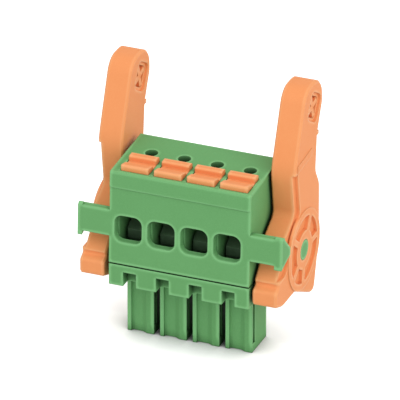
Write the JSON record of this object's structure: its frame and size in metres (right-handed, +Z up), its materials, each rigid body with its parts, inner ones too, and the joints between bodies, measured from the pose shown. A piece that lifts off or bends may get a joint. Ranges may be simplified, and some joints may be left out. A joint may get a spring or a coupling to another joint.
{
  "type": "pluggable terminal block",
  "caption": "Moulded plug-in terminal block with push-in wire clamps, a push button per pole, and a lock and release lever at each end.",
  "frame": {"origin": "centre of the plugging face, at the foot of the four contact legs", "axes": "+X along the row of poles to the right lever, +Y from the wire entries to the back, +Z up from the plugging face to the buttons"},
  "size_m": [0.0216, 0.0125, 0.0273],
  "materials": {
    "green_plastic": "matte moulded polyamide, green",
    "orange_plastic": "matte moulded polyamide, orange",
    "tinned_copper": "tin-plated copper alloy",
    "spring_steel": "bare stainless spring strip"
  },
  "bodies": {
    "plug": {"housing": "green_plastic", "contact_carrier": "green_plastic", "current_bar_1": "tinned_copper", "clamp_spring_1": "spring_steel", "socket_contact_1": "tinned_copper", "current_bar_2": "tinned_copper", "clamp_spring_2": "spring_steel", "socket_contact_2": "tinned_copper", "current_bar_3": "tinned_copper", "clamp_spring_3": "spring_steel", "socket_contact_3": "tinned_copper", "current_bar_4": "tinned_copper", "clamp_spring_4": "spring_steel", "socket_contact_4": "tinned_copper"},
    "button_1": {"push_button_1": "orange_plastic"},
    "button_2": {"push_button_2": "orange_plastic"},
    "button_3": {"push_button_3": "orange_plastic"},
    "button_4": {"push_button_4": "orange_plastic"},
    "lever_left_body": {"lever_left": "orange_plastic"},
    "lever_right_body": {"lever_right": "orange_plastic"}
  },
  "joints": [
    {"name": "button_press_1", "type": "slide", "parent": "plug", "child": "button_1", "axis": [0, 0, -1], "range_m": [0, 0.0011], "stiffness_N_per_m": 4000, "springref_m": -0.0004, "deforming": ["clamp_spring_1"]},
    {"name": "button_press_2", "type": "slide", "parent": "plug", "child": "button_2", "axis": [0, 0, -1], "range_m": [0, 0.0011], "stiffness_N_per_m": 4000, "springref_m": -0.0004, "deforming": ["clamp_spring_2"]},
    {"name": "button_press_3", "type": "slide", "parent": "plug", "child": "button_3", "axis": [0, 0, -1], "range_m": [0, 0.0011], "stiffness_N_per_m": 4000, "springref_m": -0.0004, "deforming": ["clamp_spring_3"]},
    {"name": "button_press_4", "type": "slide", "parent": "plug", "child": "button_4", "axis": [0, 0, -1], "range_m": [0, 0.0011], "stiffness_N_per_m": 4000, "springref_m": -0.0004, "deforming": ["clamp_spring_4"]},
    {"name": "lever_left_swing", "type": "hinge", "parent": "plug", "child": "lever_left_body", "pos_m": [-0.0092, 0.00256, 0.01012], "axis": [-1, 0, 0], "range_deg": [0, 18]},
    {"name": "lever_right_swing", "type": "hinge", "parent": "plug", "child": "lever_right_body", "pos_m": [0.0091, 0.00256, 0.01012], "axis": [-1, 0, 0], "range_deg": [0, 18]}
  ]
}
